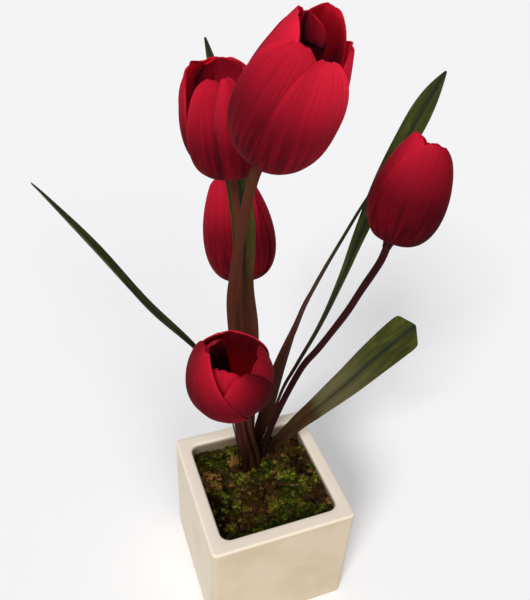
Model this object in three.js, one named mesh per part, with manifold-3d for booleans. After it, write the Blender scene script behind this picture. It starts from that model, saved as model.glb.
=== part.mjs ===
// A potted tulip: five red blooms and five long leaves standing in a square ceramic pot
// filled with a foam block and covered with moss. Millimetres, +Z up, the origin at the
// middle of the pot's underside, the pot's front face towards -Y.

import * as THREE from "three";
import { mergeVertices } from "three/addons/utils/BufferGeometryUtils.js";
import Module from "manifold-3d";

const wasm = await Module();
wasm.setup();

// The pot
const POT_WIDTH = 100;
const POT_HEIGHT = 95;
const POT_WALL = 9.1;
const POT_FLOOR = 8;
const POT_CORNER = 3.5;
const POT_EDGE = 1.6;
const CAVITY_CORNER = 6.5;

// What fills the pot
const GAP = 0.35;
const FOAM_TOP = 74;
const MOSS_TOP = 86;
const MOSS_CELLS = 16;
const MOSS_TUFTS = 46;
const MOSS_SEED = 11;
// The moss is banked up against the right wall, from this far out.
const MOSS_BANK = 5;
const MOSS_BANK_FROM = 16;

// Stems and leaf stalks
const STEM_SIDES = 8;
const STEM_STEPS = 12;
const BURIED_TO = 44;
const STALK_HOLE_RADIUS = 2.8;

// Blooms
const PETAL_THICKNESS = 0.8;
const PETAL_ACROSS = 6;
const PETAL_ALONG = 6;
const PETAL_BASE_SHARE = 0.14;
const PETAL_TIP_SHARE = 0.2;
const PETAL_WIDEST = 0.575;
const PETAL_CLEAR = 0.125;
const PETAL_TIGHTEST = 0.36;
const NECK_RADIUS = 2.8;
const NECK_LENGTH = 6;
// Edges shorter than this, where petals cross, are closed up.
const SLIVER = 0.05;

// Leaves
const LEAF_THICKNESS = 0.8;
const LEAF_ACROSS = 4;
const LEAF_ALONG = 16;
const STALK_HALF_WIDTH = 1.5;
// A stalk opens to its base width between these distances from its buried end.
const STALK_OPENS = [44, 60];
const STALK_THICKNESS = 2.6;

const COLOURS = {
  ceramic: 0xe6dccb,
  foam: 0x4b5a33,
  moss: 0x4c5422,
  petal: 0xb3132c,
  stem: 0x5a3a2c,
  leaf: 0x4f5a2a,
};

// Each bloom: where its stem ends, how far its axis leans and towards which bearing, the
// bearing that turn 0 faces, its size, and the share of its radius left at the mouth.
// Each petal, in this order: turn about the axis, width, length as a share of the bloom's
// height, how far its tip stands out, its distance from the ring that the petals share, its
// cup, how blunt its outline ends, and how far it twists round the head from foot to tip.
const BLOOMS = {
  bloom_a: {
    base: [-17, -19, 347],
    lean: 21,
    bearing: -55,
    facing: -113,
    radius: 20.8,
    height: 61,
    mouth: 0.56,
    petals: [
      [-31, 42, 0.98, 3.5, 0.8, 1, 1.8, 20],
      [42, 42, 0.95, 3.2, 2.4, 1, 1.5, -25],
      [95, 44, 0.97, 2.5, 0.8, 1, 2, 0],
      [160, 40, 1.095, 0, -1.6, 0.98, 1.8, 6],
      [213, 44, 1, 0, -0.4, 0.98, 2.2, 0],
      [273, 46, 1.06, -2.8, 0.4, 1, 2.2, -2],
    ],
  },
  bloom_b: {
    base: [-16, 31, 321],
    lean: 15,
    bearing: -135,
    facing: -107,
    radius: 22.6,
    height: 54.5,
    mouth: 0.47,
    petals: [
      [-14.5, 31, 1.01, -1.9, 2.8, 0.82, 1.85, -6],
      [15, 27, 1.02, -1.7, 3.4, 0.82, 1.4, 0],
      [85, 46, 0.97, 0, 0.6, 1, 2.2, 0],
      [170, 43.5, 0.91, 8, -1.4, 1, 2, 7.5],
      [191.5, 52, 0.91, 8, -0.4, 1, 2.4, 0],
      [248, 46, 0.99, 5, -1, 1, 2, 0],
    ],
  },
  bloom_c: {
    base: [1.2, 52, 230],
    lean: 24,
    bearing: 91,
    facing: -109,
    radius: 21.5,
    height: 66,
    mouth: 0.3,
    petals: [
      [-23, 48, 1, 3, 1.6, 1, 3, 0],
      [62, 44, 1, 0, 0, 1, 2.2, 0],
      [118, 44, 1, 0, 1.2, 1, 2.2, 0],
      [180, 44, 0.98, 0, -1.2, 0.98, 2.2, 0],
      [238, 46, 1, 0, 1.2, 1, 2.2, 0],
      [300, 44, 0.97, 0, -1.2, 0.98, 2.2, 0],
    ],
  },
  bloom_d: {
    base: [-29, -22, 206],
    lean: 13,
    bearing: -131,
    facing: -109,
    radius: 22.6,
    height: 39,
    mouth: 0.54,
    petals: [
      [-33, 52, 1.24, -3.4, 2.8, 1, 1.3, -60],
      [26, 39, 0.97, 3, 0.6, 0.97, 1.35, 0],
      [-12, 33.5, 0.99, 0.4, -1.4, 1, 2.1, -2],
      [76, 46, 0.97, 3.6, -0.8, 1, 2.1, -9],
      [182, 52, 0.89, 4, 1.2, 1.02, 2.2, 0],
      [250, 48, 0.92, 0, -0.4, 0.98, 1.7, 0],
    ],
  },
  bloom_e: {
    base: [63.5, -9, 285.5],
    lean: 18,
    bearing: 13,
    facing: -125,
    radius: 20.3,
    height: 54.5,
    mouth: 0.41,
    petals: [
      [13, 53, 1.02, 0.9, 2, 0.94, 1.7, 8],
      [-63, 38, 1.06, 2.2, -0.4, 1, 2.2, 2],
      [84, 46, 0.97, 0, 0.4, 1, 2.2, 0],
      [138, 42, 0.99, 0, -1.2, 0.98, 2, 0],
      [196, 44, 0.97, 0, 1.2, 1, 2, 0],
      [244, 42, 1.02, 0, -1.4, 0.98, 2, 0],
    ],
  },
};

// Each stem: its bloom, its radius, and the points that it passes from the moss upwards.
const STEMS = {
  stem_a: {
    bloom: "bloom_a",
    radius: 2.8,
    path: [
      [-1, 16.5, 88],
      [-9.5, 19.5, 130],
      [-16, 22, 211.5],
      [-19.3, 16.5, 241],
      [-19.5, 12, 260.5],
      [-19.5, 1, 296.5],
    ],
  },
  stem_b: {
    bloom: "bloom_b",
    radius: 2.3,
    path: [
      [4.5, 19.5, 88],
      [-2.5, 22.5, 124.5],
      [-9, 28, 205],
      [-10.5, 29, 239],
      [-11, 29, 267.5],
      [-11.5, 30.5, 285],
    ],
  },
  stem_c: {
    bloom: "bloom_c",
    radius: 2.3,
    path: [
      [2.5, 32, 88],
      [5, 41, 130],
      [5, 46, 177],
    ],
  },
  stem_d: {
    bloom: "bloom_d",
    radius: 2.3,
    path: [
      [-6.5, 15.5, 88],
      [-14, 4, 128],
      [-22, -10, 165],
    ],
  },
  stem_e: {
    bloom: "bloom_e",
    radius: 2.3,
    path: [
      [10, 24, 88],
      [18, 22.5, 128],
      [31.5, 19.5, 170.5],
      [40.5, 16, 189],
      [46.5, 9.5, 209.5],
      [52.5, 5, 227.5],
      [57.5, 2, 244],
    ],
  },
};

// Each leaf: the line of its midrib from the moss to the tip, its width, the share of its
// length where it is widest, how slowly it widens up to there, the fold of its halves, the
// way its upper face looks low down and at the tip, half the width left at the very tip and
// just above the moss, and how much shorter its edges are than its midrib.
const LEAVES = {
  leaf_1: {
    path: [
      [-9.5, 19.5, 88],
      [-13, 22, 122],
      [-23, 21.5, 165.5],
      [-38.6, 22, 203],
      [-68.6, 23.5, 246],
      [-91.3, 22, 285.5],
      [-115, 19, 328],
    ],
    width: 15,
    widest: 0.72,
    narrow: 6,
    fold: 14,
    lower: [0.8, -0.3, 0.2],
    upper: [0.7, 0.05, 0.62],
    tip: 0.5,
    base: 1.8,
    peak: 0,
  },
  leaf_2: {
    path: [
      [-2, 24.5, 88],
      [-0.5, 30, 141.5],
      [-1, 33, 199],
      [-5.8, 34.5, 237.5],
      [-6, 35, 269.5],
      [-6.5, 42, 292],
      [-9, 50.5, 319],
      [-13, 58, 344.5],
      [-18.5, 70, 374],
    ],
    width: 14,
    widest: 0.72,
    narrow: 1.1,
    fold: 8,
    lower: [-0.25, -0.95, 0.1],
    upper: [-0.1, -0.95, 0.3],
    tip: 0.5,
    base: 4.2,
    peak: 0,
  },
  leaf_3: {
    path: [
      [12.5, 29.5, 88],
      [22.5, 28.5, 141],
      [33, 28.5, 166.5],
      [47.5, 29.5, 198],
      [60.5, 31, 234],
      [69.5, 32, 264],
      [80.5, 33, 298],
      [93, 34, 327],
      [102, 34.5, 347],
      [109, 35, 359.5],
    ],
    width: 14,
    widest: 0.88,
    narrow: 6,
    fold: 14,
    lower: [-0.83, 0.19, 0.43],
    upper: [-0.45, -0.65, 0.6],
    tip: 0.5,
    base: 1.5,
    peak: 0,
  },
  leaf_4: {
    path: [
      [8, 33.5, 88],
      [16, 37, 117],
      [24.3, 38, 154.5],
      [28.4, 38.5, 169],
      [35, 38.5, 190],
      [40.3, 38, 210.5],
      [50.6, 37, 237.5],
      [60.2, 33, 266],
      [69, 27, 296],
    ],
    width: 13,
    widest: 0.35,
    narrow: 1.1,
    fold: 16,
    lower: [-0.35, -0.85, 0.4],
    upper: [-0.45, 0.9, 0.1],
    tip: 0.5,
    base: 3.7,
    peak: 0,
  },
  leaf_5: {
    path: [
      [15.5, 24.2, 88],
      [21, 17, 109],
      [31, 11, 129.5],
      [41.4, 6, 145.6],
      [55.5, -1, 169.4],
      [68.6, -7.5, 193.3],
      [88.8, -15.8, 223.8],
    ],
    width: 24.5,
    widest: 0.97,
    narrow: 2.2,
    fold: 6,
    lower: [-0.3, -0.2, 0.9],
    upper: [-0.62, -0.35, 0.7],
    tip: 11.5,
    base: 4.4,
    peak: 5.5,
  },
};

const radians = THREE.MathUtils.degToRad;

/** A closed geometry as a solid: positions alone, shared vertices merged, slivers dropped. */
function solid(geometry) {
  const bare = new THREE.BufferGeometry();
  bare.setAttribute("position", geometry.getAttribute("position").clone());
  if (geometry.index) bare.setIndex(geometry.index.clone());
  const merged = mergeVertices(bare, 1e-4);
  const triangles = [];
  for (let i = 0; i < merged.index.count; i += 3) {
    const [a, b, c] = [0, 1, 2].map((k) => merged.index.getX(i + k));
    if (a !== b && b !== c && c !== a) triangles.push(a, b, c);
  }
  return new wasm.Manifold(
    new wasm.Mesh({
      numProp: 3,
      vertProperties: merged.getAttribute("position").array,
      triVerts: new Uint32Array(triangles),
    }),
  );
}

/** A solid as a geometry again, without the loose scraps that a cut may leave. */
function geometryOf(body) {
  const bodies = body.decompose();
  const largest = bodies.sort((a, b) => b.volume() - a.volume())[0];
  const { vertProperties, triVerts, numProp } = largest.getMesh();
  const vertices = new Float32Array((vertProperties.length / numProp) * 3);
  for (let i = 0; i < vertices.length / 3; i += 1) {
    vertices.set(vertProperties.subarray(i * numProp, i * numProp + 3), i * 3);
  }
  const geometry = new THREE.BufferGeometry();
  geometry.setAttribute("position", new THREE.BufferAttribute(vertices, 3));
  geometry.setIndex(new THREE.BufferAttribute(new Uint32Array(triVerts), 1));
  geometry.computeVertexNormals();
  return geometry;
}

/** A square with round corners, centred on the axis. */
function roundedSquare(width, corner) {
  const h = width / 2;
  const shape = new THREE.Shape();
  shape.moveTo(h - corner, -h);
  shape.absarc(h - corner, -h + corner, corner, -Math.PI / 2, 0);
  shape.absarc(h - corner, h - corner, corner, 0, Math.PI / 2);
  shape.absarc(-h + corner, h - corner, corner, Math.PI / 2, Math.PI);
  shape.absarc(-h + corner, -h + corner, corner, Math.PI, 1.5 * Math.PI);
  return shape;
}

/** A square prism with round corners from one height to another, its rims rounded by edge. */
function squarePrism(width, corner, from, to, edge = 0) {
  const geometry = new THREE.ExtrudeGeometry(roundedSquare(width - 2 * edge, corner - edge), {
    depth: to - from - 2 * edge,
    bevelEnabled: edge > 0,
    bevelThickness: edge,
    bevelSize: edge,
    bevelSegments: 3,
    curveSegments: 4,
  });
  return geometry.translate(0, 0, from + edge);
}

/** A round bar along a curve. */
function bar(curve, radius, sides, steps) {
  const section = new THREE.Shape().absarc(0, 0, radius, 0, 2 * Math.PI);
  return new THREE.ExtrudeGeometry(section, {
    extrudePath: curve,
    steps,
    bevelEnabled: false,
    curveSegments: sides / 2,
  });
}

/**
 * A thin closed blade: middle(u, v) is its middle surface for u from -1 to 1 across and v
 * from 0 to 1 along, thickness(v) its thickness. Both faces are split on the same diagonal.
 */
function blade(middle, thickness, across, along) {
  const step = 1e-3;
  const positions = [];
  const rows = along + 1;
  const columns = across + 1;
  for (const side of [0.5, -0.5]) {
    for (let j = 0; j < rows; j += 1) {
      for (let i = 0; i < columns; i += 1) {
        const u = -1 + (2 * i) / across;
        const v = j / along;
        const du = middle(u + step, v).sub(middle(u - step, v));
        const dv = middle(u, v + step).sub(middle(u, v - step));
        const normal = du.cross(dv).normalize();
        const point = middle(u, v).addScaledVector(normal, side * thickness(v));
        positions.push(point.x, point.y, point.z);
      }
    }
  }
  const at = (face, i, j) => face * rows * columns + j * columns + i;
  const triangles = [];
  for (let j = 0; j < along; j += 1) {
    for (let i = 0; i < across; i += 1) {
      const [a, b, c, d] = [at(0, i, j), at(0, i + 1, j), at(0, i + 1, j + 1), at(0, i, j + 1)];
      triangles.push(a, b, c, a, c, d);
      const [e, f, g, h] = [at(1, i, j), at(1, i + 1, j), at(1, i + 1, j + 1), at(1, i, j + 1)];
      triangles.push(e, g, f, e, h, g);
    }
  }
  const wall = (i0, j0, i1, j1) => {
    const [a, b, c, d] = [at(0, i0, j0), at(0, i1, j1), at(1, i1, j1), at(1, i0, j0)];
    triangles.push(a, c, b, a, d, c);
  };
  for (let i = 0; i < across; i += 1) {
    wall(i, 0, i + 1, 0);
    wall(i + 1, along, i, along);
  }
  for (let j = 0; j < along; j += 1) {
    wall(across, j, across, j + 1);
    wall(0, j + 1, 0, j);
  }
  const geometry = new THREE.BufferGeometry();
  geometry.setAttribute("position", new THREE.Float32BufferAttribute(positions, 3));
  geometry.setIndex(triangles);
  return geometry;
}

/** The axis of a bloom, and the directions that turn 0 and turn 90 face. */
function bloomFrame({ base, lean, bearing, facing }) {
  const [l, b, f] = [lean, bearing, facing].map(radians);
  const axis = new THREE.Vector3(Math.sin(l) * Math.cos(b), Math.sin(l) * Math.sin(b), Math.cos(l));
  const front = new THREE.Vector3(Math.cos(f), Math.sin(f), 0);
  front.addScaledVector(axis, -front.dot(axis)).normalize();
  const side = axis.clone().cross(front);
  return { base: new THREE.Vector3(...base), axis, front, side };
}

/** A petal's girth at a height, as a share of its width: a narrow foot and a rounded tip. */
function petalGirth(v, blunt) {
  const swell = Math.sin(Math.PI * 0.8 * THREE.MathUtils.clamp(v, 0, PETAL_WIDEST) ** 0.85);
  if (v < PETAL_WIDEST) return THREE.MathUtils.lerp(PETAL_BASE_SHARE, 1, swell);
  const past = Math.min(1, (v - PETAL_WIDEST) / (1 - PETAL_WIDEST));
  return (1 - past ** blunt * (1 - PETAL_TIP_SHARE ** blunt)) ** (1 / blunt);
}

/** The middle surface of one petal, in the bloom's own frame with the axis along Z. */
function petalSurface(bloom, petal) {
  const { radius, height, mouth } = bloom;
  const [turn, width, length, flare, lift, cup, blunt, twist] = petal;
  const profile = new THREE.CubicBezierCurve(
    new THREE.Vector2(1.6, -1),
    new THREE.Vector2(1.24 * radius, -0.03 * height),
    new THREE.Vector2(1.22 * radius, 0.58 * height),
    new THREE.Vector2(mouth * radius + flare, height * length),
  );
  return (u, v) => {
    const point = profile.getPoint(v);
    const ring = point.x + lift * Math.min(1, v / PETAL_CLEAR);
    const bend = Math.max(ring * cup, PETAL_TIGHTEST * radius);
    const angle = (u * petalGirth(v, blunt) * width) / 2 / bend;
    const x = ring - bend + bend * Math.cos(angle);
    const y = bend * Math.sin(angle);
    const spin = radians(turn + twist * (v - 0.3));
    return new THREE.Vector3(
      x * Math.cos(spin) - y * Math.sin(spin),
      x * Math.sin(spin) + y * Math.cos(spin),
      point.y,
    );
  };
}

/** One bloom: its petals round a short neck that the stem ends in. */
function bloomBody(bloom) {
  const neck = new THREE.LatheGeometry(
    [
      new THREE.Vector2(0, -NECK_LENGTH),
      new THREE.Vector2(NECK_RADIUS, -NECK_LENGTH),
      new THREE.Vector2(NECK_RADIUS * 1.15, -NECK_LENGTH / 2),
      new THREE.Vector2(NECK_RADIUS * 1.9, -0.2),
      new THREE.Vector2(NECK_RADIUS * 1.7, 2.4),
      new THREE.Vector2(0, 3.4),
    ],
    12,
  ).rotateX(Math.PI / 2);
  let body = solid(neck);
  for (const petal of bloom.petals) {
    const surface = petalSurface(bloom, petal);
    const shape = blade(surface, () => PETAL_THICKNESS, PETAL_ACROSS, PETAL_ALONG);
    body = body.add(solid(shape));
  }
  const { base, axis, front, side } = bloomFrame(bloom);
  const place = new THREE.Matrix4().makeBasis(front, side, axis).setPosition(base);
  return geometryOf(body.simplify(SLIVER)).applyMatrix4(place);
}

/** The line of a stem, from its buried end to the neck of its bloom. */
function stemCurve({ bloom, path }, buriedTo) {
  const { base, axis } = bloomFrame(BLOOMS[bloom]);
  const [x, y] = path[0];
  const points = [new THREE.Vector3(x, y, buriedTo)];
  points.push(...path.map((p) => new THREE.Vector3(...p)));
  points.push(base.clone().addScaledVector(axis, -NECK_LENGTH - 9));
  points.push(base.clone().addScaledVector(axis, -NECK_LENGTH - GAP));
  return new THREE.CatmullRomCurve3(points, false, "catmullrom", 0.5);
}

/** The line of a leaf's midrib, from the buried end of its stalk to its tip. */
function leafCurve({ path }, buriedTo) {
  const [x, y] = path[0];
  const points = [new THREE.Vector3(x, y, buriedTo)];
  points.push(...path.map((p) => new THREE.Vector3(...p)));
  return new THREE.CatmullRomCurve3(points, false, "catmullrom", 0.5);
}

/** One leaf: a stalk that widens into a folded blade with a pointed or blunt tip. */
function leafBody(leaf) {
  const curve = leafCurve(leaf, BURIED_TO);
  const stalkEnd = 0.16;
  const lower = new THREE.Vector3(...leaf.lower);
  const upper = new THREE.Vector3(...leaf.upper);
  const open = (v) => THREE.MathUtils.smoothstep(v, stalkEnd, 0.42);
  const halfWidth = (v) => {
    const out = THREE.MathUtils.smoothstep(v * curve.getLength(), ...STALK_OPENS);
    const stalk = THREE.MathUtils.lerp(STALK_HALF_WIDTH, leaf.base, out);
    const x = THREE.MathUtils.clamp((v - stalkEnd) / (1 - stalkEnd), 0, 1);
    const rise = Math.sin((Math.PI / 2) * Math.min(1, x / leaf.widest)) ** leaf.narrow;
    const fall = Math.max(0, (x - leaf.widest) / (1 - leaf.widest)) ** 2.2;
    const full = leaf.width / 2;
    return stalk + (full - stalk) * rise - (full - leaf.tip) * fall;
  };
  const middle = (u, v) => {
    const t = THREE.MathUtils.clamp(v, 0, 1);
    const point = curve.getPointAt(t);
    const tangent = curve.getTangentAt(t);
    point.addScaledVector(tangent, (v - t) * curve.getLength());
    const face = lower.clone().lerp(upper, t);
    const across = tangent.clone().cross(face).normalize();
    const up = across.clone().cross(tangent).normalize();
    const fold = radians(leaf.fold) * open(t);
    const reach = u * halfWidth(t);
    point.addScaledVector(across, reach * Math.cos(fold));
    const short = leaf.peak * Math.abs(u) * THREE.MathUtils.smoothstep(t, 0.8, 1);
    point.addScaledVector(tangent, -short);
    return point.addScaledVector(up, Math.abs(reach) * Math.sin(fold));
  };
  const thickness = (v) => THREE.MathUtils.lerp(STALK_THICKNESS, LEAF_THICKNESS, open(v));
  return geometryOf(solid(blade(middle, thickness, LEAF_ACROSS, LEAF_ALONG)));
}

/** The pot: a square cup with round corners, softened rims and a level underside. */
function potBody() {
  const outside = solid(squarePrism(POT_WIDTH, POT_CORNER, 0, POT_HEIGHT, POT_EDGE));
  const inner = POT_WIDTH - 2 * POT_WALL;
  const inside = solid(squarePrism(inner, CAVITY_CORNER, POT_FLOOR, POT_HEIGHT + 5));
  return geometryOf(outside.subtract(inside));
}

/** Everything that the stems and stalks pass through, as bars a little thicker than they are. */
function holes() {
  const below = BURIED_TO - 2 * GAP;
  const stems = Object.values(STEMS).map((stem) =>
    bar(stemCurve(stem, below), stem.radius + GAP, STEM_SIDES, STEM_STEPS),
  );
  const stalks = Object.values(LEAVES).map((leaf) => {
    const points = leafCurve(leaf, below).points.slice(0, 3);
    return bar(new THREE.CatmullRomCurve3(points), STALK_HOLE_RADIUS, STEM_SIDES, 6);
  });
  return [...stems, ...stalks].map(solid).reduce((all, one) => all.add(one));
}

/** The foam block that fills the pot and holds the stems. */
function foamBody(cut) {
  const width = POT_WIDTH - 2 * POT_WALL - 2 * GAP;
  const block = squarePrism(width, CAVITY_CORNER - GAP, POT_FLOOR + GAP, FOAM_TOP);
  return geometryOf(solid(block).subtract(cut));
}

/** Seeded numbers from 0 to 1. */
function draw(seed) {
  let state = seed;
  return () => {
    state = (state * 16807) % 2147483647;
    return state / 2147483647;
  };
}

/** A square relief of height top(x, y), closed down to one point far below its middle. */
function reliefCone(width, cells, top, apex) {
  const grid = new THREE.PlaneGeometry(width, width, cells, cells);
  const position = grid.getAttribute("position");
  for (let i = 0; i < position.count; i += 1) {
    position.setZ(i, top(position.getX(i), position.getY(i)));
  }
  const columns = cells + 1;
  const rim = [];
  for (let i = 0; i < cells; i += 1) rim.push(i);
  for (let i = 0; i < cells; i += 1) rim.push(cells + i * columns);
  for (let i = cells; i > 0; i -= 1) rim.push(cells * columns + i);
  for (let i = cells; i > 0; i -= 1) rim.push(i * columns);
  const triangles = Array.from(grid.index.array);
  rim.forEach((a, i) => triangles.push(a, rim[(i + 1) % rim.length], position.count));
  const geometry = new THREE.BufferGeometry();
  const points = [...position.array, 0, 0, apex];
  geometry.setAttribute("position", new THREE.Float32BufferAttribute(points, 3));
  geometry.setIndex(triangles);
  return geometry;
}

/** The moss: a mat with a clumped upper face, cut to the cavity and round the stems. */
function mossBody(cut) {
  const width = POT_WIDTH - 2 * POT_WALL - 2 * GAP;
  const next = draw(MOSS_SEED);
  const tufts = Array.from({ length: MOSS_TUFTS }, () => ({
    x: (next() - 0.5) * width,
    y: (next() - 0.5) * width,
    rise: 1.2 + 2.6 * next(),
    reach: 3 + 3.5 * next(),
  }));
  const top = (x, y) => {
    let z = MOSS_TOP - 2.4 + 0.9 * Math.sin(x * 0.21 + 1) * Math.cos(y * 0.17);
    z += MOSS_BANK * THREE.MathUtils.smoothstep(x, MOSS_BANK_FROM, width / 2);
    for (const tuft of tufts) {
      const away = ((x - tuft.x) ** 2 + (y - tuft.y) ** 2) / tuft.reach ** 2;
      z += tuft.rise * Math.exp(-away);
    }
    return z;
  };
  const bottom = FOAM_TOP + GAP;
  const crown = solid(reliefCone(width + 4, MOSS_CELLS, top, bottom - 60));
  const outline = squarePrism(width, CAVITY_CORNER - GAP, bottom, POT_HEIGHT);
  return geometryOf(crown.intersect(solid(outline)).subtract(cut));
}

/** Adds one named piece with its own material to the group. */
function addPiece(group, name, geometry, colour, roughness) {
  const material = new THREE.MeshStandardMaterial({ color: colour, roughness, metalness: 0 });
  const mesh = new THREE.Mesh(geometry, material);
  mesh.name = name;
  group.add(mesh);
}

const tulip = new THREE.Group();
const cut = holes();
addPiece(tulip, "pot", potBody(), COLOURS.ceramic, 0.6);
addPiece(tulip, "foam_block", foamBody(cut), COLOURS.foam, 0.95);
addPiece(tulip, "moss_mat", mossBody(cut), COLOURS.moss, 0.95);
for (const [name, stem] of Object.entries(STEMS)) {
  const shape = bar(stemCurve(stem, BURIED_TO), stem.radius, STEM_SIDES, STEM_STEPS);
  addPiece(tulip, name, geometryOf(solid(shape)), COLOURS.stem, 0.6);
}
for (const [name, bloom] of Object.entries(BLOOMS)) {
  addPiece(tulip, name, bloomBody(bloom), COLOURS.petal, 0.75);
}
for (const [name, leaf] of Object.entries(LEAVES)) {
  addPiece(tulip, name, leafBody(leaf), COLOURS.leaf, 0.6);
}

export default tulip;
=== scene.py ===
import math
import random

import bmesh
import bpy
from mathutils import Matrix, Vector, noise


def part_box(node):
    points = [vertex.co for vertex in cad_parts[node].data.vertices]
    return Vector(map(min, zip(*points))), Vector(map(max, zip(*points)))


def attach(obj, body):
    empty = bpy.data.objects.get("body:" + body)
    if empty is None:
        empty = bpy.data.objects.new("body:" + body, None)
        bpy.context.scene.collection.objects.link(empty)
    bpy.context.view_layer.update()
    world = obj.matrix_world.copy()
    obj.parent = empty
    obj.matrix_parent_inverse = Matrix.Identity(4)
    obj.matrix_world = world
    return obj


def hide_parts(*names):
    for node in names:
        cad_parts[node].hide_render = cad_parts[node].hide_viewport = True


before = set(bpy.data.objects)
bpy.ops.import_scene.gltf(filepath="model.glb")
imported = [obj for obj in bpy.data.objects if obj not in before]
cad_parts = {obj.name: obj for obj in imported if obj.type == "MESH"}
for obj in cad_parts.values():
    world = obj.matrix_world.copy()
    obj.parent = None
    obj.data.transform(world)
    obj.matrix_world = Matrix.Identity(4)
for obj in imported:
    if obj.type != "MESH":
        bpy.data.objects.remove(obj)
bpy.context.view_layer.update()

bl_info = {
    "name": "Potted tulip",
    "version": (1, 0, 0),
    "blender": (4, 5, 0),
    "location": "3D View > Sidebar > Tulip",
    "description": "Dresses the potted tulip: petals, stems, leaves, moss, pot and stage",
    "category": "Add Mesh",
}

MM = 0.001

# The camera: where it stands in millimetres, its turns in degrees, and its focal length
# as a share of the frame's height.
CAMERA_PLACE = (-111.0, -264.1, 462.8)
CAMERA_AZIMUTH = -21.91
CAMERA_ELEVATION = 36.65
CAMERA_ROLL = 3.29
CAMERA_FOCAL = 636.0 / 600.0
SENSOR_HEIGHT = 24.0  # millimetres

# The pot in millimetres: the rounding of its upright corners, outside and inside, and of
# its edges, the thickness of its floor, the tops of the foam and the moss, the gap between
# the moss and the wall, and the height that stems and leaves start from.
POT_CORNER = 3.5
CAVITY_CORNER = 6.5
POT_EDGE = 1.6
POT_FLOOR = 8.0
FOAM_TOP = 74.0
MOSS_TOP = 86.0
MOSS_GAP = 0.35
BURIED_TO = 44.0

# Where the ceramic's painted shade and highlight change, in metres: on its way out to the
# front face, up to the flat of the rim, in to the cavity's wall, and down that wall.
FRONT_SHADE = (-0.044, -0.0495)
RIM_FLAT = (0.0925, 0.0949)
INNER_WALL = (0.0418, 0.041)
DOWN_WALL = (0.095, 0.0905)

# A petal's girth at its foot and its tip as shares of its width, the share of its length
# where it is widest, the share over which its foot leaves the neck for its own ring, and
# its tightest bend as a share of the head's radius.
PETAL_BASE_SHARE = 0.14
PETAL_TIP_SHARE = 0.2
PETAL_WIDEST = 0.575
PETAL_CLEAR = 0.125
PETAL_TIGHTEST = 0.36

# The mesh of a petal, and how far in from its edge the pale rim reaches, in millimetres: a
# paler cut edge that is partly a painted highlight.
PETAL_COLUMNS = 22
PETAL_ROWS = 26
PETAL_RIM = 1.8

# The neck's profile, height and radius in millimetres from the head's base, as it is on a
# stem of NECK_FITS, and how far below the base the stem straightens and ends.
NECK_PROFILE = (
    (-6.4, 2.2), (-6.3, 2.5), (-5.9, 2.6), (-4.6, 2.75), (-3.2, 3.1), (-2.0, 3.7),
    (-1.0, 4.5), (0.0, 5.3), (1.4, 5.6), (2.6, 4.0), (3.2, 1.2),
)
NECK_FITS = 2.3
NECK_SIDES = 16
STEM_STRAIGHT = 15.0
STEM_END = 4.0
STEM_RINGS = 60
STEM_SIDES = 12

# Leaves: rows along, the share of the length that is stalk, the share where the blade is
# fully open, half the stalk's width deep down, and where it widens, in millimetres along.
LEAF_ROWS = 90
LEAF_STALK = 0.16
LEAF_OPEN = 0.42
STALK_HALF = 1.5
STALK_WIDENS = (44, 60)

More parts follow.
